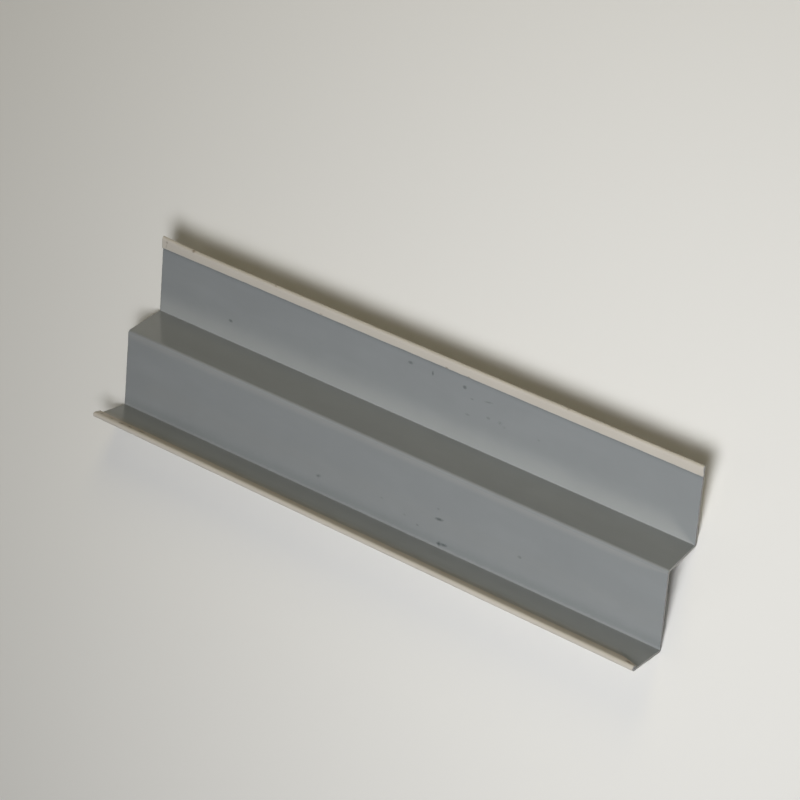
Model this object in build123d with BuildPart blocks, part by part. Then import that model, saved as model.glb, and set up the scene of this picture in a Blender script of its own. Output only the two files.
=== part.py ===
"""Stepped edge trim: one strip of coated aluminium sheet, folded into a stair of two steps.

The section is drawn along the middle of the sheet, from the hem that closes its top edge, down
the upper leg, forward along the ledge, down the lower leg and forward along the flange to the
hem that rounds its nose.  The strip lies as it comes to rest: leaning back on its two heels,
the bend under the lower leg and the bend under the upper leg, with its front faces upwards.

X runs along the strip, Z is up, and the origin is on the floor under the middle of the strip.
"""

import os
from math import atan2, cos, sin

from build123d import *

# Driving dimensions in millimetres
strip_length = 150.0
sheet_gauge = 0.5
bend_inside_radius = 0.15

# Faces of the stair, measured on its front side
flange_reach = 10.1
lower_leg_height = 19.5
ledge_depth = 12.0
upper_leg_height = 19.2

# Closed hems, folded onto the front side
hem_gap = 0.1
top_hem_drop = 2.3
flange_hem_reach = 2.0

# Turns of the sheet in degrees, negative to the right as it is followed down the section
hem_fold = -180.0
step_in = -90.0
step_out = 90.0

# Radii of the middle of the sheet, and of the outside of a bend and of a hem
bend_radius = bend_inside_radius + sheet_gauge / 2
heel_radius = bend_inside_radius + sheet_gauge
hem_radius = (hem_gap + sheet_gauge) / 2
hem_nose_radius = hem_gap / 2 + sheet_gauge

# Centres of the two hem folds, in the section's depth and height
top_fold_depth = ledge_depth - hem_gap / 2
top_fold_height = lower_leg_height + upper_leg_height - hem_nose_radius
nose_fold_depth = hem_nose_radius - flange_reach
nose_fold_height = hem_gap / 2

# Each straight run of the sheet, with the radius and the turn of the bend that ends it
bent_runs = (
    (top_hem_drop - hem_nose_radius, hem_radius, hem_fold),
    (upper_leg_height - hem_nose_radius - bend_inside_radius, bend_radius, step_in),
    (ledge_depth - heel_radius - bend_inside_radius, bend_radius, step_out),
    (lower_leg_height - heel_radius - bend_inside_radius, bend_radius, step_in),
    (flange_reach - hem_nose_radius - bend_inside_radius, hem_radius, hem_fold),
)
flange_flap_run = flange_hem_reach - hem_nose_radius

# The line through both heels lies level on the floor
rest_lean = atan2(lower_leg_height, ledge_depth)
depth_direction = Vector(0, cos(rest_lean), -sin(rest_lean))
height_direction = Vector(0, sin(rest_lean), cos(rest_lean))
folds_middle = (
    depth_direction * (top_fold_depth + nose_fold_depth) / 2
    + height_direction * (top_fold_height + nose_fold_height) / 2
)
heel_centre = (height_direction - depth_direction) * bend_inside_radius
section_plane = Plane(
    origin=(0, -folds_middle.Y, heel_radius - heel_centre.Z),
    x_dir=depth_direction,
    z_dir=(1, 0, 0),
)

with BuildPart() as stepped_trim:
    with BuildSketch(section_plane):
        with BuildLine() as sheet_line:
            run_start = Vector(top_fold_depth - hem_radius, top_fold_height - bent_runs[0][0])
            run_direction = Vector(0, 1)
            for run_length, radius, turn in bent_runs:
                run = Line(run_start, run_start + run_direction * run_length)
                bend = JernArc(run @ 1, run % 1, radius, turn)
                run_start = bend @ 1
                run_direction = bend % 1
            Line(run_start, run_start + run_direction * flange_flap_run)
        trace(line_width=sheet_gauge)
    extrude(amount=strip_length / 2, both=True)

stepped_trim.part.label = "stepped_trim"
os.makedirs("parts", exist_ok=True)
export_step(stepped_trim.part, "parts/stepped_trim.step")
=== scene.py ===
"""Stepped edge trim: one strip of coated sheet, folded into a stair of two steps, as it lies.

Lengths are in metres.  The sheet is followed from the cut edge of the top hem, over the hem, down
the upper leg, forward along the ledge, down the lower leg, forward along the flange and round its
nose to the cut edge of the flange hem.  Its front side has a cool grey coat.  Its back side, which
the two hems bring round to the front, has a warm white coat.
"""

import math
from functools import partialmethod

import bpy
from bpy.props import FloatProperty, FloatVectorProperty, IntProperty, PointerProperty
from mathutils import Matrix, Vector


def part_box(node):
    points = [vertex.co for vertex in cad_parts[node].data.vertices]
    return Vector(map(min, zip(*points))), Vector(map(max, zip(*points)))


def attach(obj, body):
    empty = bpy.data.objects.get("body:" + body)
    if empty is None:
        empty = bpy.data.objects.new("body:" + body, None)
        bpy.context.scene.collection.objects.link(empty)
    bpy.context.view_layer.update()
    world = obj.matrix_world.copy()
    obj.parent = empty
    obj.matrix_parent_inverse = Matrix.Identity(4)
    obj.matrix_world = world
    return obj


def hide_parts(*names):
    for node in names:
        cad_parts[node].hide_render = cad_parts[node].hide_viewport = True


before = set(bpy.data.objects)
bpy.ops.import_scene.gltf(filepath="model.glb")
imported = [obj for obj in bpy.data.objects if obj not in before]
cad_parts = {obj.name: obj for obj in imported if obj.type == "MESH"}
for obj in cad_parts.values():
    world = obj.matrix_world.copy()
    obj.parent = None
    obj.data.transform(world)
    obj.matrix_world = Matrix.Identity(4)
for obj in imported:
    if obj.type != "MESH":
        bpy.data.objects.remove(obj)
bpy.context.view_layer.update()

bl_info = {
    "name": "Stepped Edge Trim",
    "version": (1, 0, 0),
    "blender": (4, 5, 0),
    "location": "View3D > Sidebar > Trim",
    "description": "Folds a stepped edge trim from coated sheet and sets it on a pale floor",
    "category": "Add Mesh",
}

STRIP_NODE = "stepped_trim"
STRIP_BODY = "root"

MM = 0.001
strip_low, strip_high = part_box(STRIP_NODE)

# Names of the values that the sheet carries
SHEET_PLACE = "sheet_place"
FRONT_WAY = "front_way"
EDGE_GAP = "edge_gap"
FRONT_FACE = "front_face"
CUT_FACE = "cut_face"
TO_LAST_EDGE = "to_last_edge"

# Sockets of the shader groups that carry a place
VECTOR_SOCKETS = ("Place", "Centre")

# Points nearer than the first are merged, points nearer a cut than the second lie on it, and faces that
# meet at more than the angle keep a crisp edge
MERGE_GAP = 0.001 * MM
CUT_GAP = 0.01 * MM
CRISP_ANGLE = math.radians(40.0)

# Share of the flange hem's flap that its clipped corner lacks
CLIPPED_SHARE = 0.85

# Detail and roughness of each noise
WAVE_NOISE = (1.0, 0.5)
BURR_NOISE = (2.0, 0.6)
GRAIN_NOISE = (2.0, 0.5)
MOTTLE_NOISE = (3.0, 0.6)
WIPE_NOISE = (3.0, 0.55)
CREASE_SHADE_NOISE = (3.0, 0.6)
FOLD_LIGHT_NOISE = (2.0, 0.5)
CHIP_NOISE = (3.0, 0.65)
SCUFF_NOISE = (3.0, 0.7)

# Seeds of the coats and the cut metal, and what each effect adds to its seed
FRONT_SEED, BACK_SEED, METAL_SEED = 1.0, 5.0, 2.0
BURR_SEED, WIPE_SEED, CREASE_SHADE_SEED, FOLD_LIGHT_SEED = 0.5, 0.3, 0.7, 0.9

# Noise levels between which the mottle, the wipe marks and the chips go from none to full
MOTTLE_LEVELS = (0.25, 0.75)
WIPE_LEVELS = (0.42, 0.78)
CHIP_LEVELS = (0.42, 0.75)

# Wipe marks: how much longer than wide they are, and how much lighter and rougher the coat is there
WIPE_STRETCH = 4.0
WIPE_TONE = 1.25
WIPE_ROUGHER = 0.10

# Painted shade along a crease: size and strength of its breaks, and where it starts across its line, in
# shares of its reach.  The painted shade at the lower leg's foot starts this many gauges above the fold.
CREASE_SHADE_GRAIN = 1.1 * MM
CREASE_SHADE_BREAKS = 0.5
CREASE_SHADE_START = (-0.45, -0.3)
FOOT_GAUGES = 3

# Painted light along a fold, standing in for highlights and bounced light: size and strength of its breaks,
# how softly it starts on its line, over what length it runs out at the strip's end, and the least that it
# reaches there
FOLD_LIGHT_GRAIN = 6.0 * MM
FOLD_LIGHT_BREAKS = 0.2
FOLD_LIGHT_START = 0.2 * MM
FOLD_LIGHT_RUN_OUT = 7.0 * MM
LEAST_REACH = 0.01 * MM

# Chips along a cut edge: how many fit in their reach, and the line that is bare all along
CHIPS_IN_REACH = 0.7
BARE_LINE = 0.02 * MM

# Scuffs: size and strength of the breaks in their outline, where they fade in shares of their half size,
# their depth against the coat's grain, and how much rougher the coat is in a scuff or a chip
SCUFF_GRAIN = 0.35 * MM
SCUFF_BREAKS = 1.3
SCUFF_FADE = (0.15, 1.1)
SCUFF_DEPTH = 2.0
WORN_ROUGHER = 0.25

# Strength and height of the fine relief
COAT_RELIEF = (0.25, 0.004 * MM)
METAL_RELIEF = (0.4, 0.01 * MM)

# The cut metal's darker tone and the change of its roughness, and the floor's roughness
DULL_METAL = 0.55
METAL_ROUGHER = 0.2
FLOOR_ROUGHNESS = 0.8

# Softboxes: place, width, depth and the point that each faces, in metres
SOFTBOXES = {
    "key": ((0.24, -0.16, 0.50), 0.20, 0.20, (0.05, 0.06, 0.0)),
    "fill": ((-0.08, 0.69, 0.47), 0.30, 0.40, (0.0, 0.0, 0.0)),
    "glint": ((-0.45, -0.38, 0.64), 0.30, 0.50, (0.0, 0.0, 0.0)),
}

# Scuffs by face: millimetres along the strip and up the face, half length, half width, degrees, strength.
# On the hems the second length runs along the sheet, from the hem's cut edge or from its fold.
FRONT_SCUFFS = {
    "upper": (
        (21.5, 5.3, 0.70, 0.40, 10.0, 0.77),
        (73.2, 14.2, 0.70, 0.50, 0.0, 0.63),
        (79.4, 13.9, 0.60, 0.30, 90.0, 0.82),
        (88.2, 13.8, 0.60, 0.52, 0.0, 0.70),
        (90.4, 11.7, 0.55, 0.26, 0.0, 0.27),
        (94.8, 12.6, 1.45, 0.28, -10.0, 0.31),
        (89.5, 7.5, 0.80, 0.32, 0.0, 0.24),
        (95.1, 8.8, 0.70, 0.42, 0.0, 0.26),
        (98.3, 8.8, 0.60, 0.48, 0.0, 0.43),
        (99.4, 8.2, 0.50, 0.36, 0.0, 0.23),
        (108.7, 8.7, 0.42, 0.36, 0.0, 0.19),
    ),
    "lower": (
        (57.9, 4.4, 0.90, 0.42, -20.0, 0.48),
        (75.7, 6.1, 0.55, 0.32, 0.0, 0.16),
        (82.2, 4.5, 0.55, 0.32, 0.0, 0.15),
        (85.9, 3.4, 0.55, 0.32, 0.0, 0.30),
        (91.1, 9.7, 0.48, 0.34, 0.0, 0.23),
        (91.5, 7.2, 1.40, 0.42, -8.0, 0.69),
        (92.0, 1.2, 0.72, 0.62, 0.0, 0.82),
        (93.3, 1.4, 1.10, 0.40, -6.0, 0.73),
        (113.2, 6.9, 0.58, 0.40, 0.0, 0.61),
    ),
}
BACK_SCUFFS = {
    "top_hem": (
        (1.5, 1.5, 0.40, 0.36, 0.0, 0.55),
        (1.3, 0.7, 0.80, 0.18, 75.0, 0.40),
        (2.1, 2.5, 0.60, 0.34, 0.0, 0.80),
        (5.9, 2.3, 0.40, 0.22, 0.0, 0.60),
        (9.5, 2.1, 0.62, 0.36, 0.0, 0.85),
        (34.1, 2.2, 0.50, 0.26, 0.0, 0.70),
        (47.6, 0.2, 0.60, 0.22, 0.0, 0.50),
        (83.0, 0.1, 0.60, 0.28, 0.0, 0.70),
        (89.1, 0.1, 0.50, 0.25, 0.0, 0.60),
        (115.5, 2.2, 0.60, 0.30, 0.0, 0.60),
    ),
    "flange_hem": (
        (1.6, 0.5, 0.70, 0.30, 20.0, 0.80),
        (4.6, 0.4, 0.60, 0.28, 0.0, 0.70),
        (7.9, 0.3, 1.10, 0.34, 15.0, 0.85),
        (10.2, 0.5, 0.80, 0.30, 0.0, 0.85),
        (13.6, 0.6, 1.40, 0.34, 0.0, 0.70),
        (148.3, 0.6, 1.10, 0.40, 0.0, 0.85),
    ),
}


def size(name, description, default_mm):
    """A length, with its default in millimetres"""
    return FloatProperty(
        name=name, description=description, default=default_mm * MM, min=0.0, precision=5, unit="LENGTH"
    )


def turn(name, description, default_degrees):
    """An angle, with its default in degrees"""
    default = math.radians(default_degrees)
    return FloatProperty(
        name=name, description=description, default=default, precision=4, unit="ROTATION"
    )


def share(name, description, default):
    """A plain factor from nought to one"""
    return FloatProperty(
        name=name, description=description, default=default, min=0.0, max=1.0, subtype="FACTOR"
    )


def colour(name, description, default):
    """A colour in linear light"""
    return FloatVectorProperty(
        name=name, description=description, default=default, min=0.0, max=1.0, size=3, subtype="COLOR"
    )


def place(name, description, default_mm):
    """A point in the frame of the strip, with its default in millimetres"""
    return FloatVectorProperty(
        name=name, description=description, default=[part * MM for part in default_mm],
        precision=4, size=3, subtype="TRANSLATION", unit="LENGTH",
    )


def power(name, description, default):
    """The power of a lamp"""
    return FloatProperty(name=name, description=description, default=default, unit="POWER")


def lens_size(name, description, default_mm):
    """A length inside the camera, in millimetres"""
    return FloatProperty(name=name, description=description, default=default_mm, min=1.0, unit="CAMERA")


def whole(name, description, default, low):
    """A whole number"""
    return IntProperty(name=name, description=description, default=default, min=low)


class TrimSizes(bpy.types.PropertyGroup):
    """Sizes of the folded sheet"""

    length: size("Length", "Length of the strip", (strip_high.x - strip_low.x) / MM)
    gauge: size("Gauge", "Thickness of the sheet", 0.5)
    bend_radius: size("Bend Radius", "Inside radius of the three bends", 0.15)
    flange_reach: size("Flange Reach", "From the lower leg's front to the flange's nose", 10.1)
    lower_leg: size("Lower Leg", "From the flange's top to the ledge's top", 19.5)
    ledge: size("Ledge", "From the lower leg's front to the upper leg's front", 12.0)
    upper_leg: size("Upper Leg", "From the ledge's top to the top of its hem", 19.2)
    hem_gap: size("Hem Gap", "Between a hem's flap and the face under it", 0.1)
    top_hem: size("Top Hem", "How far the top hem comes down the upper leg", 2.3)
    flange_hem: size("Flange Hem", "How far the flange hem comes back over the flange", 2.0)


class TrimHandling(bpy.types.PropertyGroup):
    """Small bends and rough cuts that handling left in the strip"""

    upper_lean_left: turn("Upper Lean Left", "Upper leg leans forward at the left end", 0.5)
    upper_lean_right: turn("Upper Lean Right", "Upper leg leans forward at the right end", -0.5)
    ledge_rise_left: turn("Ledge Rise Left", "Ledge rises to the back at the left end", 2.4)
    ledge_rise_right: turn("Ledge Rise Right", "Ledge rises to the back at the right end", 1.3)
    flange_rise_left: turn("Flange Rise Left", "Flange rises to its nose at the left end", 4.4)
    flange_rise_right: turn("Flange Rise Right", "Flange rises to its nose at the right end", -0.9)
    heel_dip_left: size("Heel Dip Left", "How far the lower leg's foot dips at the left end", 0.33)
    heel_dip_right: size("Heel Dip Right", "How far the lower leg's foot dips at the right end", 0.0)
    leg_cut_left: turn("Leg Cut Left", "Left cut of the legs runs off square going up", 1.4)
    leg_cut_right: turn("Leg Cut Right", "Right cut of the legs runs off square going up", -1.45)
    ledge_cut_left: turn("Ledge Cut Left", "Left cut of the ledge runs off square going back", -4.25)
    ledge_cut_right: turn("Ledge Cut Right", "Right cut of the ledge runs off square going back", -5.7)
    flange_cut_left: turn("Flange Cut Left", "Left cut of the flange runs off square going back", 4.4)
    flange_cut_right: turn("Flange Cut Right", "Right cut of the flange runs off square going back", 1.3)
    flap_slide_left: size("Flap Slide Left", "How far in the top hem's flap starts at the left end", 0.15)
    flap_slide_right: size("Flap Slide Right", "How far out the top hem's flap runs at the right end", 0.45)
    hem_flare: size("Hem Flare", "How far the top hem's fold stands up at the left end", 0.5)
    hem_flare_reach: size("Hem Flare Reach", "How far along the strip that reaches", 17.0)
    flap_clip: size("Flap Clip", "Length of the flange flap's missing corner at the right end", 2.8)
    flap_spread: size("Flap Spread", "How much further the flange flap was pressed over the flange", 0.3)
    nose_roll: size("Nose Roll", "How far the flange hem stands open behind its nose", 0.22)
    waviness: size("Waviness", "How far the faces swell and dip along the strip", 0.05)
    wave_length: size("Wave Length", "About the length of one such wave", 32.0)
    burr: size("Burr", "Roughness of the cut edges", 0.09)
    burr_length: size("Burr Length", "About the length of one burr", 0.9)
    seed: whole("Seed", "Fixes the waves and burrs", 4, 0)


class TrimMesh(bpy.types.PropertyGroup):
    """How finely the sheet is divided"""

    bend_steps: whole("Bend Steps", "Steps round a quarter bend", 8, 2)
    length_steps: whole("Length Steps", "Steps along the strip", 90, 4)
    run_step: size("Run Step", "Spacing across the flat runs of the section", 0.45)
    end_step: size("End Step", "Spacing of the last step at each cut end", 0.25)


class TrimFinish(bpy.types.PropertyGroup):
    """Colours and gloss of the two coats and of the bare cut edges"""

    front_colour: colour("Front Coat", "Cool grey coat of the front side", (0.236, 0.250, 0.256))
    back_colour: colour("Back Coat", "Warm white coat of the back and the hems", (0.487, 0.456, 0.405))
    metal_colour: colour("Bare Metal", "Aluminium where the sheet was cut", (0.42, 0.42, 0.415))
    # Dark handling marks, and also the colour of the painted shade on the front coat
    grime_and_shade_colour: colour("Grime", "Dark marks of handling", (0.040, 0.058, 0.056))
    speck_colour: colour("Specks", "Brown marks on the back coat", (0.165, 0.128, 0.088))
    # Colour of painted shade on the flange hem's flap, darkest at its cut edge
    flap_shade_colour: colour("Stain", "Brown stain over the flange hem's flap", (0.300, 0.215, 0.120))
    # Colour of painted bounce light at the upper leg's foot
    painted_light_colour: colour("Rubbed Coat", "Front coat rubbed at the upper leg's foot", (0.475, 0.485, 0.460))
    # Colour of painted highlights along the other folds and of painted light behind the flange hem
    warm_painted_light_colour: colour("Warm Rub", "Front coat rubbed along the other folds", (0.56, 0.52, 0.45))
    front_roughness: share("Front Roughness", "Roughness of the front coat", 0.16)
    back_roughness: share("Back Roughness", "Roughness of the back coat", 0.32)
    metal_roughness: share("Metal Roughness", "Roughness of the cut metal", 0.42)
    sheen: share("Sheen", "Strength of the coats' reflection", 0.70)
    grain: size("Grain", "Size of the coats' fine grain", 0.30)
    mottle: size("Mottle", "Size of the slow changes of tone", 14.0)
    tone_change: share("Tone Change", "Strength of the slow changes of tone", 0.025)
    wipe_width: size("Wipe Width", "Width of the wipe marks", 5.0)
    wipe_change: share("Wipe Change", "How much the wipe marks lighten the coat", 0.16)
    # Painted bounce light: the upper leg's foot is painted lighter where light off the ledge would fall
    bounce_light_height: size("Rub Height", "How far up the upper leg the coat is rubbed lighter by the fold", 7.0)
    bounce_light_change: share("Rub Change", "How much lighter the coat is there", 0.27)
    # Painted highlight along the fold under the lower leg
    fold_highlight: size("Fold Line", "Width of the lighter line along the fold under the lower leg", 1.2)
    fold_highlight_change: share("Fold Line Change", "How much lighter the coat is in that line", 0.07)
    # Painted shade inside that fold
    fold_shade: size("Fold Grime", "How far grime reaches up from the inside of that fold", 0.8)
    fold_shade_change: share("Fold Grime Change", "How much that grime darkens the coat", 0.22)
    # Painted highlight on the lower leg, down from the ledge's fold
    brow_highlight_reach: size("Brow Reach", "How far the coat is rubbed lighter down from the ledge's fold", 1.7)
    brow_highlight_change: share("Brow Change", "How much lighter the coat is there", 0.10)
    # Painted shade up the lower leg's foot
    foot_shade_reach: size("Foot Reach", "How far grime reaches up the lower leg from that line", 2.6)
    foot_shade_change: share("Foot Change", "How much that grime darkens the coat", 0.13)
    # Painted shadow on the upper leg under the top hem's edge
    hem_shadow_change: share("Crease Change", "How much grime darkens the coat beside a hem", 0.42)
    hem_shadow_reach: size("Crease Reach", "How far that grime reaches from the hem's edge", 1.6)
    # Painted light on the flange behind its hem, lightening the shade that the flap casts there
    behind_hem_light: size("Nose Rub", "How far the coat is rubbed lighter behind the flange hem", 3.2)
    behind_hem_light_change: share("Nose Rub Change", "How much lighter the coat is there", 0.52)
    # Painted shade over the flange hem's flap toward its cut edge
    flap_shade_reach: size("Stain Reach", "How far the brown stain reaches over the flange hem's flap", 1.9)
    flap_shade_change: share("Stain Change", "How much that stain darkens the coat", 0.60)
    chip_reach: size("Chip Reach", "How far chips reach in from a cut edge", 0.25)


class TrimStage(bpy.types.PropertyGroup):
    """Floor, light and camera"""

    floor_colour: colour("Floor", "Pale floor", (0.70, 0.70, 0.69))
    floor_reach: size("Floor Reach", "Half the side of the floor", 4000.0)
    lit_reach: size("Lit Reach", "Distance within which the lamps light the floor", 170.0)
    pale_reach: size("Pale Reach", "Distance beyond which the floor is evenly pale", 420.0)
    world_colour: colour("Surround", "Light from all round", (0.96, 0.98, 1.0))
    world_level: share("Surround Level", "Strength of the light from all round", 0.06)
    key_colour: colour("Key Colour", "Colour of the main softbox", (1.0, 1.0, 1.0))
    fill_colour: colour("Fill Colour", "Colour of the warm softbox", (1.0, 0.84, 0.45))
    glint_colour: colour("Glint Colour", "Colour of the softbox that lights the bends", (1.0, 0.94, 0.84))
    key_power: power("Key Power", "Power of the main softbox", 0.665)
    fill_power: power("Fill Power", "Power of the warm softbox", 1.22)
    glint_power: power("Glint Power", "Power of the softbox that lights the bends", 0.28)
    key_spread: turn("Key Spread", "How widely the main softbox spreads its light", 80.0)
    fill_spread: turn("Fill Spread", "How widely the warm softbox spreads its light", 180.0)
    glint_spread: turn("Glint Spread", "How widely the softbox for the bends spreads its light", 180.0)
    aim: place("Aim", "Point that the camera looks at", (-0.676, 9.984, 10.109))
    distance: size("Distance", "From the camera to that point", 658.77)
    azimuth: turn("Azimuth", "Turn of the camera round the strip, from its front to the right", 94.389)
    elevation: turn("Elevation", "Angle of the camera above the floor", 59.733)
    roll: turn("Roll", "Turn of the camera about its line of sight", 71.575)
    lens: lens_size("Lens", "Focal length", 135.0)
    sensor: lens_size("Sensor", "Width of the sensor", 36.0)


class Wiring:
    """Adds nodes to one tree and joins them up; the functions below call it w"""

    def __init__(self, tree):
        self.tree = tree

    def feed(self, socket, value):
        """Joins an output to this input, or sets the input's plain value"""
        if isinstance(value, bpy.types.NodeSocket):
            self.tree.links.new(value, socket)
        elif value is not None:
            socket.default_value = value

    def fill(self, node, values):
        """Feeds each input of the node that is named"""
        for name, value in values.items():
            self.feed(node.inputs[name], value)

    def put(self, kind, *values, **settings):
        """Adds a node, with an output to join or a plain value for each of its inputs in turn"""
        node = self.tree.nodes.new(kind)
        for name, value in settings.items():
            setattr(node, name, value)
        sockets = [socket for socket in node.inputs if socket.enabled]
        for socket, value in zip(sockets, values):
            self.feed(socket, value)
        return node

    def give(self, kind, *values, **settings):
        """Adds a node and returns its first output"""
        node = self.put(kind, *values, **settings)
        return next(socket for socket in node.outputs if socket.enabled)

    def maths(self, operation, *values):
        """One step of arithmetic"""
        return self.give("ShaderNodeMath", *values, operation=operation)

    plus = partialmethod(maths, "ADD")
    minus = partialmethod(maths, "SUBTRACT")
    times = partialmethod(maths, "MULTIPLY")
    over = partialmethod(maths, "DIVIDE")
    least = partialmethod(maths, "MINIMUM")
    most = partialmethod(maths, "MAXIMUM")

    def ramp(self, value, low, high, start=0.0, end=1.0, way="LINEAR"):
        """Goes from start to end as the value goes from low to high, and stays there"""
        return self.give("ShaderNodeMapRange", value, low, high, start, end, interpolation_type=way)

    def blend(self, factor, first, second):
        """A number between two others"""
        return self.give("ShaderNodeMix", factor, first, second, data_type="FLOAT")

    def tint(self, factor, first, second):
        """A colour between two others"""
        return self.give("ShaderNodeMix", factor, first, second, data_type="RGBA")

    def vector(self, x, y, z):
        return self.give("ShaderNodeCombineXYZ", x, y, z)

    def parts(self, vector):
        return self.put("ShaderNodeSeparateXYZ", vector).outputs

    def scaled(self, vector, factor):
        node = self.put("ShaderNodeVectorMath", vector, operation="SCALE")
        self.fill(node, {"Scale": factor})
        return node.outputs[0]

    def moved(self, first, second):
        return self.give("ShaderNodeVectorMath", first, second, operation="ADD")

    def noise(self, vector, seed, detail, roughness, output="Fac"):
        """Smooth noise with features about one unit long"""
        node = self.put(
            "ShaderNodeTexNoise", vector, seed, 1.0, detail, roughness, noise_dimensions="4D"
        )
        return node.outputs[output]


def add_socket(tree, name, kind, in_out="INPUT"):
    """Gives the tree one more named socket"""
    tree.interface.new_socket(name, in_out=in_out, socket_type="NodeSocket" + kind)


def add_inputs(tree, *groups):
    """Gives the tree a named input for each property of the groups"""
    for group in groups:
        for prop in group.__annotations__.values():
            add_socket(tree, prop.keywords["name"], "Int" if prop.function is IntProperty else "Float")


def named_values(*groups):
    """The value of each property in the groups, by the name that the user sees"""
    return {
        prop.keywords["name"]: getattr(group, key)
        for group in groups
        for key, prop in type(group).__annotations__.items()
    }


def sheet_line(w, given):
    """The middle of the sheet as a curve, with depth in Y and height in Z"""
    gauge, gap, ledge = given["Gauge"], given["Hem Gap"], given["Ledge"]
    half = w.times(gauge, 0.5)
    flap_rise = w.plus(gap, half)
    legs_height = w.plus(given["Lower Leg"], given["Upper Leg"])
    top_line = w.minus(legs_height, half)
    ledge_line = w.minus(given["Lower Leg"], half)
    flange_line = w.minus(0.0, half)
    upper_line = w.plus(ledge, half)
    flap_line = w.minus(ledge, flap_rise)
    nose_line = w.minus(half, given["Flange Reach"])
    corners = (
        (flap_line, w.minus(legs_height, given["Top Hem"])),
        (flap_line, top_line),
        (upper_line, top_line),
        (upper_line, ledge_line),
        (half, ledge_line),
        (half, flange_line),
        (nose_line, flange_line),
        (nose_line, flap_rise),
        (w.minus(given["Flange Hem"], given["Flange Reach"]), flap_rise),
    )
    index = w.give("GeometryNodeInputIndex")
    choice = w.put("GeometryNodeIndexSwitch", data_type="VECTOR")
    while len(choice.index_switch_items) < len(corners):
        choice.index_switch_items.new()
    w.feed(choice.inputs[0], index)
    for socket, corner in zip(choice.inputs[1:], corners):
        w.feed(socket, w.vector(0.0, *corner))
    points = w.give("GeometryNodePoints", len(corners), choice.outputs[0])
    line = w.give("GeometryNodePointsToCurves", points)

    # The three corners in the middle are bends, and the two pairs outside them are hems
    between_bend_and_hem = 1.5
    from_middle = w.maths("ABSOLUTE", w.minus(index, len(corners) // 2))
    is_bend = w.maths("LESS_THAN", from_middle, between_bend_and_hem)
    radius = w.blend(is_bend, w.times(w.plus(gap, gauge), 0.5), w.plus(given["Bend Radius"], half))
    line = w.give("GeometryNodeFilletCurve", line, given["Bend Steps"], radius, False, mode="POLY")

    here = w.give("GeometryNodeInputPosition")
    following = w.give(
        "GeometryNodeFieldAtIndex", here, w.plus(index, 1.0), data_type="FLOAT_VECTOR", domain="POINT"
    )
    gap_to_next = w.put("ShaderNodeVectorMath", here, following, operation="DISTANCE").outputs["Value"]
    cuts = w.maths("FLOOR", w.over(gap_to_next, given["Run Step"]))
    return w.give("GeometryNodeSubdivideCurve", line, cuts)


def stations(w, given, row):
    """Place along the strip of each row of the sheet, with a short step at both cut ends"""
    end, steps = given["End Step"], given["Length Steps"]
    middle_length = w.minus(given["Length"], w.times(end, 2.0))
    along = w.times(end, w.ramp(row, 0.0, 1.0))
    along = w.plus(along, w.times(middle_length, w.ramp(row, 1.0, w.minus(steps, 1.0))))
    along = w.plus(along, w.times(end, w.ramp(row, w.minus(steps, 1.0), steps)))
    return w.minus(along, w.times(given["Length"], 0.5))


def store(w, geometry, name, value, data_type, domain="POINT"):
    """Writes a named value onto the geometry"""
    return w.give(
        "GeometryNodeStoreNamedAttribute", geometry, True, name, value, data_type=data_type, domain=domain
    )


def read(w, name, data_type):
    """Reads a value that was stored by this name"""
    return w.give("GeometryNodeInputNamedAttribute", name, data_type=data_type)


def folded_sheet(w, given):
    """The closed sheet, with its back side, its front side and its cut edges"""
    line = sheet_line(w, given)
    count = w.put("GeometryNodeAttributeDomainSize", line, component="CURVE").outputs["Point Count"]
    rows = w.plus(given["Length Steps"], 1.0)
    grid = w.give("GeometryNodeMeshGrid", 1.0, 1.0, rows, count)
    index = w.give("GeometryNodeInputIndex")
    column = w.maths("MODULO", index, count)
    row = w.maths("FLOOR", w.over(index, count))

    def along_line(value, data_type):
        return w.give("GeometryNodeSampleIndex", line, value, column, data_type=data_type, domain="POINT")

    middle = along_line(w.give("GeometryNodeInputPosition"), "FLOAT_VECTOR")
    heading = w.parts(along_line(w.give("GeometryNodeInputTangent"), "FLOAT_VECTOR"))
    run = along_line(w.put("GeometryNodeSplineParameter").outputs["Length"], "FLOAT")
    whole_run = w.give("GeometryNodeCurveLength", line)
    along = stations(w, given, row)
    front_way = w.vector(0.0, heading["Z"], w.times(heading["Y"], -1.0))

    edge_gap = w.minus(w.times(given["Length"], 0.5), w.maths("ABSOLUTE", along))
    edge_gap = w.least(edge_gap, w.least(run, w.minus(whole_run, run)))
    sheet = store(w, grid, SHEET_PLACE, w.vector(along, run, 0.0), "FLOAT_VECTOR")
    sheet = store(w, sheet, FRONT_WAY, front_way, "FLOAT_VECTOR")
    sheet = store(w, sheet, EDGE_GAP, edge_gap, "FLOAT")
    sheet = store(w, sheet, TO_LAST_EDGE, w.minus(whole_run, run), "FLOAT")
    way = read(w, FRONT_WAY, "FLOAT_VECTOR")
    spot = w.moved(middle, w.vector(along, 0.0, 0.0))
    spot = w.moved(spot, w.scaled(way, w.times(given["Gauge"], -0.5)))
    back = w.give("GeometryNodeSetPosition", sheet, True, spot)

    turned = w.give("GeometryNodeFlipFaces", back)
    raised = w.put("GeometryNodeExtrudeMesh", turned, True, None, 0.0, False, mode="FACES")
    front, top = raised.outputs["Mesh"], raised.outputs["Top"]
    front = w.give("GeometryNodeSetPosition", front, top, None, w.scaled(way, given["Gauge"]))
    front = store(w, front, FRONT_FACE, top, "BOOLEAN", "FACE")
    front = store(w, front, CUT_FACE, raised.outputs["Side"], "BOOLEAN", "FACE")
    both = w.put("GeometryNodeJoinGeometry")
    w.feed(both.inputs[0], front)
    w.feed(both.inputs[0], back)
    return w.give("GeometryNodeMergeByDistance", both.outputs[0], True, MERGE_GAP)


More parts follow.
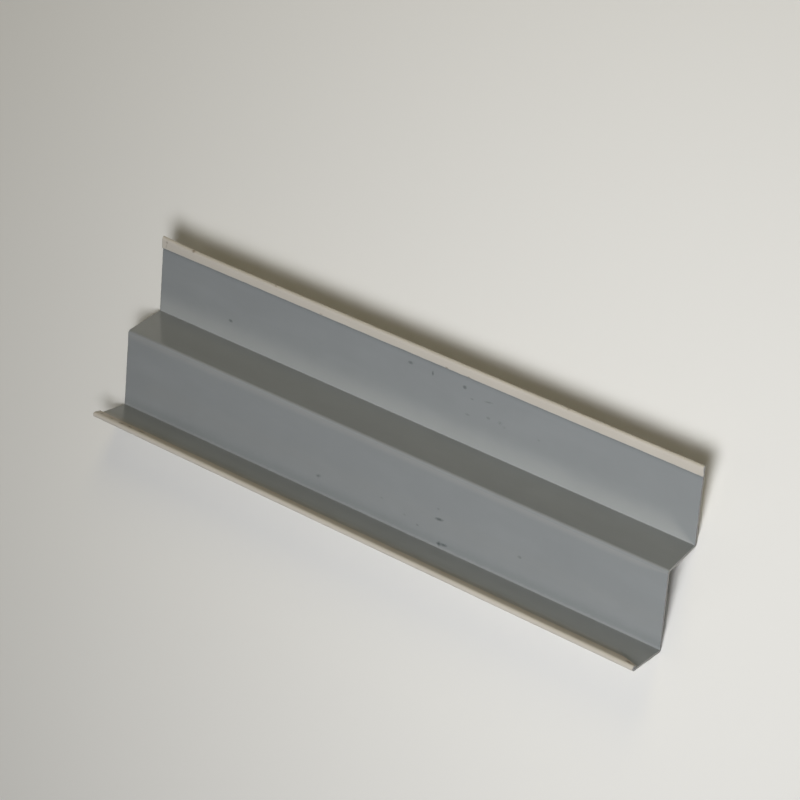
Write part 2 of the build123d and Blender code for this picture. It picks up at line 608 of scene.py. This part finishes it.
def rough_edges(w, given, sheet):
    """Burrs along the cut ends and the cut edges of the hems, and slow waves in the faces"""
    spot = read(w, SHEET_PLACE, "FLOAT_VECTOR")
    seed = given["Seed"]
    wave = w.noise(w.scaled(spot, w.over(1.0, given["Wave Length"])), seed, *WAVE_NOISE)
    swell = w.times(w.minus(wave, 0.5), w.times(given["Waviness"], 2.0))
    swell = w.scaled(read(w, FRONT_WAY, "FLOAT_VECTOR"), swell)
    waved = w.give("GeometryNodeSetPosition", sheet, True, None, swell)
    at_edge = w.maths("LESS_THAN", read(w, EDGE_GAP, "FLOAT"), CUT_GAP)
    spot = w.scaled(w.give("GeometryNodeInputPosition"), w.over(1.0, given["Burr Length"]))
    ragged = w.noise(spot, w.plus(seed, BURR_SEED), *BURR_NOISE, "Color")
    burr = w.scaled(w.moved(ragged, (-0.5, -0.5, -0.5)), w.times(given["Burr"], 2.0))
    return w.give("GeometryNodeSetPosition", waved, at_edge, None, burr)


def handled(w, given, sheet):
    """The small bends of the legs, the set of the hems and the two cuts that run off square"""
    x, depth, height = w.parts(w.give("GeometryNodeInputPosition"))
    share_along = w.plus(w.over(x, given["Length"]), 0.5)
    nose_radius = w.plus(given["Gauge"], w.times(given["Hem Gap"], 0.5))
    hem_arc = w.times(w.plus(given["Gauge"], given["Hem Gap"]), math.pi / 2)

    def along_strip(name):
        return w.blend(share_along, given[name + " Left"], given[name + " Right"])

    over_ledge = w.least(w.most(depth, 0.0), given["Ledge"])
    over_flange = w.least(depth, 0.0)
    lean = w.times(along_strip("Upper Lean"), w.most(w.minus(height, given["Lower Leg"]), 0.0))
    rise = w.times(along_strip("Ledge Rise"), over_ledge)
    lift = w.times(along_strip("Flange Rise"), w.times(over_flange, -1.0))
    dip = w.times(along_strip("Heel Dip"), w.ramp(height, 0.0, given["Lower Leg"], 1.0, 0.0))
    cut = w.times(along_strip("Leg Cut"), w.minus(height, w.times(given["Lower Leg"], 0.5)))
    cut = w.plus(cut, w.times(along_strip("Ledge Cut"), over_ledge))
    cut = w.plus(cut, w.times(along_strip("Flange Cut"), over_flange))

    # The top flap slants off along the strip, and the flange flap slopes down from its nose
    top_flap = w.minus(given["Top Hem"], nose_radius)
    run = w.parts(read(w, SHEET_PLACE, "FLOAT_VECTOR"))["Y"]
    slide = w.ramp(run, 0.0, w.plus(top_flap, hem_arc), along_strip("Flap Slide"), 0.0)
    flange_flap = w.minus(given["Flange Hem"], nose_radius)
    to_edge = read(w, TO_LAST_EDGE, "FLOAT")
    pressed = w.times(given["Hem Gap"], -0.5)
    roll = w.ramp(to_edge, flange_flap, w.plus(flange_flap, hem_arc), given["Nose Roll"], 0.0)
    roll = w.least(roll, w.ramp(to_edge, 0.0, flange_flap, pressed, given["Nose Roll"]))
    half_length = w.times(given["Length"], 0.5)
    clip = w.ramp(x, w.minus(half_length, given["Flap Clip"]), half_length, 0.0, CLIPPED_SHARE)
    clip = w.times(clip, w.ramp(to_edge, 0.0, flange_flap, flange_flap, 0.0))
    clip = w.minus(clip, w.ramp(to_edge, 0.0, flange_flap, given["Flap Spread"], 0.0))

    legs_height = w.plus(given["Lower Leg"], given["Upper Leg"])
    flare = w.ramp(w.plus(x, half_length), 0.0, given["Hem Flare Reach"], 1.0, 0.0)
    flare = w.times(w.times(flare, flare), given["Hem Flare"])
    flare = w.times(flare, w.ramp(height, w.minus(legs_height, given["Top Hem"]), legs_height))

    up = w.minus(w.plus(w.plus(rise, lift), w.plus(roll, flare)), dip)
    shift = w.vector(w.plus(cut, slide), w.times(w.plus(lean, clip), -1.0), up)
    return w.give("GeometryNodeSetPosition", sheet, True, None, shift)


def folded_strip_tree():
    """The node tree that folds, roughens, bends and lays down the strip"""
    tree = bpy.data.node_groups.new("folded_strip", "GeometryNodeTree")
    add_inputs(tree, TrimSizes, TrimHandling, TrimMesh)
    add_socket(tree, "Rest Lean", "Float")
    add_socket(tree, "Rest Place", "Vector")
    for name in ("Front Coat", "Back Coat", "Cut Metal"):
        add_socket(tree, name, "Material")
    add_socket(tree, "Strip", "Geometry", "OUTPUT")

    w = Wiring(tree)
    given = w.put("NodeGroupInput").outputs
    sheet = folded_sheet(w, given)
    sheet = rough_edges(w, given, sheet)
    sheet = handled(w, given, sheet)
    lean = w.vector(w.times(given["Rest Lean"], -1.0), 0.0, 0.0)
    sheet = w.give("GeometryNodeTransform", sheet, given["Rest Place"], lean)

    sheet = w.give("GeometryNodeSetShadeSmooth", sheet, True, True, domain="FACE")
    fold = w.put("GeometryNodeInputMeshEdgeAngle").outputs["Unsigned Angle"]
    is_sharp = w.maths("GREATER_THAN", fold, CRISP_ANGLE)
    sheet = w.give("GeometryNodeSetShadeSmooth", sheet, is_sharp, False, domain="EDGE")
    for name in (FRONT_WAY, TO_LAST_EDGE):
        sheet = w.give("GeometryNodeRemoveAttribute", sheet, name)
    sheet = w.give("GeometryNodeRealizeInstances", sheet)
    sheet = w.give("GeometryNodeSetMaterial", sheet, True, given["Back Coat"])
    sheet = w.give("GeometryNodeSetMaterial", sheet, read(w, FRONT_FACE, "BOOLEAN"), given["Front Coat"])
    sheet = w.give("GeometryNodeSetMaterial", sheet, read(w, CUT_FACE, "BOOLEAN"), given["Cut Metal"])
    w.put("NodeGroupOutput", sheet)
    return tree


def coat_texture(w, given):
    """Fine grain of a surface and slow changes of its tone"""
    spot, seed = given["Place"], given["Seed"]
    grain = w.noise(w.scaled(spot, w.over(1.0, given["Grain"])), seed, *GRAIN_NOISE)
    mottle = w.noise(w.scaled(spot, w.over(1.0, given["Mottle"])), seed, *MOTTLE_NOISE)
    return [grain, w.ramp(mottle, *MOTTLE_LEVELS)]


def wipe_marks(w, given):
    """Wipe marks that run along the strip"""
    x, y, z = w.parts(w.scaled(given["Place"], w.over(1.0, given["Size"])))
    stretched = w.vector(w.over(x, given["Stretch"]), y, z)
    streaks = w.noise(stretched, given["Seed"], *WIPE_NOISE)
    return [w.ramp(streaks, *WIPE_LEVELS, way="SMOOTHSTEP")]


def crease_grime(w, given):
    """Painted shade that fades away from a line along the sheet, to the side that the reach's sign gives"""
    run = w.parts(given["Place"])["Y"]
    away = w.over(w.minus(run, given["Line"]), given["Reach"])
    broken = w.noise(w.scaled(given["Place"], 1.0 / CREASE_SHADE_GRAIN), given["Seed"], *CREASE_SHADE_NOISE)
    away = w.plus(away, w.times(w.minus(broken, 0.5), CREASE_SHADE_BREAKS))
    fade = w.ramp(away, 0.0, 1.0, 1.0, 0.0)
    return [w.times(w.times(fade, fade), w.ramp(away, *CREASE_SHADE_START))]


def fold_rub(w, given):
    """Painted light along one side of a fold: lighter coat that stands in for highlights and bounced light,
    running out at the right end
    """
    spot = w.parts(given["Place"])
    beyond = w.times(w.minus(given["Line"], spot["Y"]), given["Side"])
    broken = w.noise(w.scaled(given["Place"], 1.0 / FOLD_LIGHT_GRAIN), given["Seed"], *FOLD_LIGHT_NOISE)
    reach = w.times(given["Reach"], w.ramp(w.minus(given["End"], spot["X"]), 0.0, FOLD_LIGHT_RUN_OUT))
    away = w.over(beyond, w.most(reach, LEAST_REACH))
    away = w.plus(away, w.times(w.minus(broken, 0.5), FOLD_LIGHT_BREAKS))
    fade = w.ramp(away, 0.0, 1.0, 1.0, 0.0, way="SMOOTHSTEP")
    return [w.times(fade, w.ramp(beyond, -FOLD_LIGHT_START, 0.0))]


def worn_edges(w, given):
    """Chips of the coat along the cut edges of the sheet"""
    spot = w.scaled(given["Place"], w.over(CHIPS_IN_REACH, given["Reach"]))
    chips = w.noise(spot, given["Seed"], *CHIP_NOISE)
    reach = w.times(given["Reach"], w.ramp(chips, *CHIP_LEVELS))
    return [w.ramp(given["Gap"], 0.0, w.plus(reach, BARE_LINE), 1.0, 0.0)]


def scuff(w, given):
    """One speck or streak, with a broken outline"""
    away = w.give("ShaderNodeVectorMath", given["Place"], given["Centre"], operation="SUBTRACT")
    turned = w.times(given["Turn"], -1.0)
    away = w.parts(w.give("ShaderNodeVectorRotate", away, None, turned, rotation_type="Z_AXIS"))
    shape = w.vector(w.over(away["X"], given["Length"]), w.over(away["Y"], given["Width"]), 0.0)
    broken = w.noise(w.scaled(given["Place"], 1.0 / SCUFF_GRAIN), 0.0, *SCUFF_NOISE)
    far = w.put("ShaderNodeVectorMath", shape, operation="LENGTH").outputs["Value"]
    far = w.plus(far, w.times(w.minus(broken, 0.5), SCUFF_BREAKS))
    mask = w.ramp(far, *SCUFF_FADE, 1.0, 0.0, way="SMOOTHSTEP")
    return [w.times(mask, given["Strength"])]


# Shader groups that the materials share: what wires each one, its inputs and its outputs
SHARED_GROUPS = {
    "coat_texture": (coat_texture, "Place Grain Mottle Seed", "Height Tone"),
    "wipe_marks": (wipe_marks, "Place Size Stretch Seed", "Mask"),
    "crease_grime": (crease_grime, "Place Line Reach Seed", "Mask"),
    "fold_rub": (fold_rub, "Place Line Side Reach End Seed", "Mask"),
    "worn_edges": (worn_edges, "Place Gap Reach Seed", "Mask"),
    "scuff": (scuff, "Place Centre Length Width Turn Strength", "Mask"),
}


def shared_group(name):
    """The shader group of this name, made when it is first asked for"""
    tree = bpy.data.node_groups.get(name)
    if tree is None:
        tree = bpy.data.node_groups.new(name, "ShaderNodeTree")
        wire, inputs, outputs = SHARED_GROUPS[name]
        for in_out, sockets in (("INPUT", inputs), ("OUTPUT", outputs)):
            for socket in sockets.split():
                add_socket(tree, socket, "Vector" if socket in VECTOR_SOCKETS else "Float", in_out)
        w = Wiring(tree)
        w.put("NodeGroupOutput", *wire(w, w.put("NodeGroupInput").outputs))
    return tree


def group_node(w, name, **values):
    """Places a shared group, with an output to join or a plain value for each named input"""
    node = w.put("ShaderNodeGroup", node_tree=shared_group(name))
    w.fill(node, {key.capitalize(): value for key, value in values.items()})
    return node.outputs


def sheet_runs(sizes):
    """Where faces, folds and edges lie along the sheet, from the cut edge of the top hem"""
    half = sizes.gauge / 2
    nose = sizes.hem_gap / 2 + sizes.gauge
    heel = sizes.bend_radius + sizes.gauge
    hem_arc = math.pi * (sizes.hem_gap + sizes.gauge) / 2
    bend_arc = math.pi / 2 * (sizes.bend_radius + half)
    flap_end = sizes.top_hem - nose
    upper_start = flap_end + hem_arc
    upper_end = upper_start + sizes.upper_leg - nose - sizes.bend_radius
    ledge_end = upper_end + bend_arc + sizes.ledge - heel - sizes.bend_radius
    lower_start = ledge_end + bend_arc
    lower_end = lower_start + sizes.lower_leg - heel - sizes.bend_radius
    flange_end = lower_end + bend_arc + sizes.flange_reach - nose - sizes.bend_radius
    flange_flap = sizes.flange_hem - nose
    return {
        "upper": upper_end + sizes.bend_radius,
        "lower": lower_end + sizes.bend_radius,
        "lower_brow": lower_start + sizes.bend_radius,
        "in_lower_fold": lower_end + bend_arc / 2,
        "above_lower_fold": lower_end - FOOT_GAUGES * sizes.gauge,
        "top_hem": 0.0,
        "flange_hem": flange_end + hem_arc,
        "under_top_hem": upper_start + flap_end,
        "behind_flange_hem": flange_end - flange_flap,
        "last_edge": flange_end + hem_arc + flange_flap,
    }


def scuff_mask(w, sizes, spot, scuffs):
    """All the specks and streaks of one side, as one mask"""
    starts = sheet_runs(sizes)
    mask = 0.0
    for face, marks in scuffs.items():
        way = 1.0 if face.endswith("hem") else -1.0
        for along, up, length, width, angle, strength in marks:
            centre = (along * MM - sizes.length / 2, starts[face] + way * up * MM, 0.0)
            one = group_node(
                w, "scuff", place=spot, centre=centre, length=length * MM, width=width * MM,
                turn=math.radians(angle), strength=strength,
            )["Mask"]
            mask = w.most(mask, one)
    return mask


def toned(tint, factor=1.0):
    """A colour made lighter or darker, with its alpha"""
    return (*(part * factor for part in tint), 1.0)


def new_material(name, base):
    """A material with one Principled shader, and its wiring"""
    material = bpy.data.materials.new(name)
    material.use_nodes = True
    material.diffuse_color = toned(base)
    return material, Wiring(material.node_tree), material.node_tree.nodes["Principled BSDF"]


def attribute(w, name, output):
    """Reads a value that the sheet carries"""
    return w.put("ShaderNodeAttribute", attribute_name=name).outputs[output]


def relief(w, height, strength, depth):
    """The normal of a surface with fine relief"""
    bump = w.put("ShaderNodeBump", strength, depth)
    w.fill(bump, {"Height": height})
    return bump.outputs["Normal"]


def coat_material(
    name, seed, base, roughness, looks, sizes, scuffs, scuff_colour, shades, shade_tint, painted_lights=()
):
    """A glossy baked coat, with its grain, wipe marks, painted light along folds, painted shade beside
    folds and hems, scuffs and chipped edges
    """
    material, w, shader = new_material(name, base)
    spot = attribute(w, SHEET_PLACE, "Vector")
    gap = attribute(w, EDGE_GAP, "Fac")
    starts = sheet_runs(sizes)
    texture = group_node(w, "coat_texture", place=spot, grain=looks.grain, mottle=looks.mottle, seed=seed)
    wiped = group_node(
        w, "wipe_marks", place=spot, size=looks.wipe_width, stretch=WIPE_STRETCH, seed=seed + WIPE_SEED,
    )["Mask"]
    worn = group_node(w, "worn_edges", place=spot, gap=gap, reach=looks.chip_reach, seed=seed)["Mask"]
    scuffed = scuff_mask(w, sizes, spot, scuffs)
    shade = 0.0
    # Painted shade beside folds and hems
    for line, reach, strength in shades:
        one = group_node(
            w, "crease_grime", place=spot, line=starts[line], reach=reach, seed=seed + CREASE_SHADE_SEED,
        )["Mask"]
        shade = w.most(shade, w.times(one, strength))

    dark, light = (toned(base, 1.0 + sign * looks.tone_change) for sign in (-1.0, 1.0))
    coat = w.tint(texture["Tone"], dark, light)
    coat = w.tint(w.times(wiped, looks.wipe_change), coat, toned(base, WIPE_TONE))
    # Painted light along folds: highlights and bounce light
    for line, side, reach, strength, painted_light_colour in painted_lights:
        painted = group_node(
            w, "fold_rub", place=spot, line=starts[line], side=side, reach=reach, end=sizes.length / 2,
            seed=seed + FOLD_LIGHT_SEED,
        )["Mask"]
        coat = w.tint(w.times(painted, strength), coat, toned(painted_light_colour))
    coat = w.tint(shade, coat, toned(shade_tint))
    coat = w.tint(scuffed, coat, toned(scuff_colour))
    coat = w.tint(worn, coat, toned(looks.metal_colour))
    gloss = w.plus(roughness, w.times(wiped, WIPE_ROUGHER))
    gloss = w.plus(gloss, w.times(w.most(scuffed, worn), WORN_ROUGHER))
    height = w.minus(texture["Height"], w.times(scuffed, SCUFF_DEPTH))
    w.fill(shader, {
        "Base Color": coat,
        "Metallic": worn,
        "Roughness": gloss,
        "Specular IOR Level": looks.sheen,
        "Normal": relief(w, height, *COAT_RELIEF),
    })
    return material


def metal_material(name, looks):
    """Bare aluminium of a sheared edge, with fine grain and duller patches"""
    base = looks.metal_colour
    material, w, shader = new_material(name, base)
    spot = w.put("ShaderNodeTexCoord").outputs["Object"]
    texture = group_node(
        w, "coat_texture", place=spot, grain=looks.grain, mottle=looks.chip_reach, seed=METAL_SEED,
    )
    w.fill(shader, {
        "Base Color": w.tint(texture["Tone"], toned(base, DULL_METAL), toned(base)),
        "Metallic": 1.0,
        "Roughness": w.plus(looks.metal_roughness, w.times(texture["Height"], METAL_ROUGHER)),
        "Normal": relief(w, texture["Height"], *METAL_RELIEF),
    })
    return material


def rest_lean_and_place(sizes, handling):
    """How far the strip leans back on its two heels, and where its section's origin then lies"""
    lean = math.atan2(sizes.lower_leg, sizes.ledge)
    heel = sizes.bend_radius + sizes.gauge
    nose = sizes.hem_gap / 2 + sizes.gauge
    depths = sizes.ledge - sizes.hem_gap / 2 + nose - sizes.flange_reach
    heights = sizes.lower_leg + sizes.upper_leg - nose + sizes.hem_gap / 2
    y = -(depths * math.cos(lean) + heights * math.sin(lean)) / 2
    z = heel - sizes.bend_radius * (math.sin(lean) + math.cos(lean))
    z += max(handling.heel_dip_left, handling.heel_dip_right) * math.cos(lean)
    return lean, Vector((0.0, y, z))


def plain_mesh(name, tree, values):
    """An object whose mesh is what the tree makes from these values, with no modifier left"""
    piece = bpy.data.objects.new(name, bpy.data.meshes.new(name + "_seed"))
    bpy.context.scene.collection.objects.link(piece)
    modifier = piece.modifiers.new(tree.name, "NODES")
    modifier.node_group = tree
    for item in tree.interface.items_tree:
        if item.in_out == "INPUT":
            modifier[item.identifier] = values[item.name]
    graph = bpy.context.evaluated_depsgraph_get()
    mesh = bpy.data.meshes.new_from_object(piece.evaluated_get(graph), depsgraph=graph)
    piece.modifiers.clear()
    seed_mesh = piece.data
    piece.data = mesh
    mesh.name = name
    bpy.data.meshes.remove(seed_mesh)
    if not mesh.polygons:
        raise RuntimeError(f"{name} came out with no faces")
    return piece


class TRIM_OT_add_strip(bpy.types.Operator):
    """Fold the strip from its sheet and coat it"""

    bl_idname = "trim.add_strip"
    bl_label = "Add Folded Strip"

    def execute(self, context):
        scene = context.scene
        sizes, handling, looks = scene.trim_sizes, scene.trim_handling, scene.trim_finish
        values = named_values(sizes, handling, scene.trim_mesh)
        values["Rest Lean"], values["Rest Place"] = rest_lean_and_place(sizes, handling)
        # Painted shade: a shadow under the top hem, shade up the lower leg's foot and inside the lower fold
        front_shades = (
            ("under_top_hem", looks.hem_shadow_reach, looks.hem_shadow_change),
            ("above_lower_fold", -looks.foot_shade_reach, looks.foot_shade_change),
            ("in_lower_fold", -looks.fold_shade, looks.fold_shade_change),
        )
        # Painted light: bounce light at the upper leg's foot, highlights along the ledge's fold and the
        # lower fold, light behind the flange hem
        front_painted_lights = (
            ("upper", 1.0, looks.bounce_light_height, looks.bounce_light_change, looks.painted_light_colour),
            ("lower_brow", -1.0, looks.brow_highlight_reach, looks.brow_highlight_change, looks.warm_painted_light_colour),
            ("lower", 1.0, looks.fold_highlight, looks.fold_highlight_change, looks.warm_painted_light_colour),
            ("behind_flange_hem", 1.0, looks.behind_hem_light, looks.behind_hem_light_change, looks.warm_painted_light_colour),
        )
        # Painted shade on the flange hem's flap toward its cut edge
        back_shades = (("last_edge", -looks.flap_shade_reach, looks.flap_shade_change),)
        values["Front Coat"] = coat_material(
            "front_coat", FRONT_SEED, looks.front_colour, looks.front_roughness, looks, sizes,
            FRONT_SCUFFS, looks.grime_and_shade_colour, front_shades, looks.grime_and_shade_colour, front_painted_lights,
        )
        values["Back Coat"] = coat_material(
            "back_coat", BACK_SEED, looks.back_colour, looks.back_roughness, looks, sizes,
            BACK_SCUFFS, looks.speck_colour, back_shades, looks.flap_shade_colour,
        )
        values["Cut Metal"] = metal_material("cut_metal", looks)
        strip = plain_mesh("folded_strip", folded_strip_tree(), values)
        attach(strip, STRIP_BODY)
        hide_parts(STRIP_NODE)
        return {"FINISHED"}


def softbox(name, watts, tint, spread, where, width, depth, towards):
    """A soft rectangular lamp that faces a point"""
    lamp = bpy.data.lights.new(name, "AREA")
    lamp.shape = "RECTANGLE"
    lamp.size = width
    lamp.size_y = depth
    lamp.energy = watts
    lamp.color = tint
    lamp.spread = spread
    holder = bpy.data.objects.new(name, lamp)
    holder.location = where
    holder.rotation_euler = (Vector(where) - Vector(towards)).to_track_quat("Z", "Y").to_euler()
    bpy.context.scene.collection.objects.link(holder)


class TRIM_OT_add_stage(bpy.types.Operator):
    """Lay the floor, hang the softboxes and set the camera"""

    bl_idname = "trim.add_stage"
    bl_label = "Add Stage"

    def execute(self, context):
        scene = context.scene
        settings = scene.trim_stage
        self.lay_floor(scene, settings)
        self.light(scene, settings)
        self.set_camera(scene, settings)
        scene.view_settings.view_transform = "Standard"
        return {"FINISHED"}

    def lay_floor(self, scene, settings):
        reach = settings.floor_reach
        mesh = bpy.data.meshes.new("floor")
        corners = [(x * reach, y * reach, 0.0) for x, y in ((-1, -1), (1, -1), (1, 1), (-1, 1))]
        mesh.from_pydata(corners, [], [(0, 1, 2, 3)])
        floor = bpy.data.objects.new("floor", mesh)
        scene.collection.objects.link(floor)
        material, w, shader = new_material("pale_floor", settings.floor_colour)
        pale = toned(settings.floor_colour)
        w.fill(shader, {"Base Color": pale, "Roughness": FLOOR_ROUGHNESS, "Specular IOR Level": 0.0})

        # Far from the strip the floor is its own pale colour to the camera and in reflections
        spot = w.put("ShaderNodeTexCoord").outputs["Object"]
        away = w.put("ShaderNodeVectorMath", spot, operation="LENGTH").outputs["Value"]
        far = w.ramp(away, settings.lit_reach, settings.pale_reach, way="SMOOTHSTEP")
        ray = w.put("ShaderNodeLightPath").outputs
        seen = w.most(ray["Is Camera Ray"], w.most(ray["Is Glossy Ray"], ray["Is Transmission Ray"]))
        glow = w.give("ShaderNodeEmission", pale, 1.0)
        surface = w.give("ShaderNodeMixShader", w.times(far, seen), shader.outputs["BSDF"], glow)
        w.fill(material.node_tree.nodes["Material Output"], {"Surface": surface})
        mesh.materials.append(material)

    def light(self, scene, settings):
        world = bpy.data.worlds.new("surround")
        world.use_nodes = True
        background = world.node_tree.nodes["Background"]
        background.inputs["Color"].default_value = toned(settings.world_colour)
        background.inputs["Strength"].default_value = settings.world_level
        scene.world = world
        for name, shape in SOFTBOXES.items():
            look = [getattr(settings, f"{name}_{what}") for what in ("power", "colour", "spread")]
            softbox(f"{name}_softbox", *look, *shape)

    def set_camera(self, scene, settings):
        around, above = settings.azimuth, settings.elevation
        back = Vector(
            (math.sin(around) * math.cos(above), -math.cos(around) * math.cos(above), math.sin(above))
        )
        level = (-back).to_track_quat("-Z", "Y").to_matrix()
        camera = bpy.data.cameras.new("camera")
        camera.lens = settings.lens
        camera.sensor_width = settings.sensor
        holder = bpy.data.objects.new("camera", camera)
        holder.rotation_euler = (level @ Matrix.Rotation(-settings.roll, 3, "Z")).to_euler()
        holder.location = Vector(settings.aim) + back * settings.distance
        scene.collection.objects.link(holder)
        scene.camera = holder


class TRIM_PT_panel(bpy.types.Panel):
    """Lists the steps that make the trim"""

    bl_idname = "TRIM_PT_panel"
    bl_label = "Stepped Edge Trim"
    bl_space_type = "VIEW_3D"
    bl_region_type = "UI"
    bl_category = "Trim"

    def draw(self, context):
        for operator in OPERATORS:
            self.layout.operator(operator.bl_idname)


SETTINGS = {
    "trim_sizes": TrimSizes,
    "trim_handling": TrimHandling,
    "trim_mesh": TrimMesh,
    "trim_finish": TrimFinish,
    "trim_stage": TrimStage,
}
OPERATORS = (TRIM_OT_add_strip, TRIM_OT_add_stage)
CLASSES = (*SETTINGS.values(), *OPERATORS, TRIM_PT_panel)


def register():
    for cls in CLASSES:
        bpy.utils.register_class(cls)
    for name, group in SETTINGS.items():
        setattr(bpy.types.Scene, name, PointerProperty(type=group))


def unregister():
    for name in SETTINGS:
        delattr(bpy.types.Scene, name)
    for cls in reversed(CLASSES):
        bpy.utils.unregister_class(cls)


def main():
    register()
    bpy.ops.trim.add_strip()
    bpy.ops.trim.add_stage()


if __name__ == "__main__":
    main()
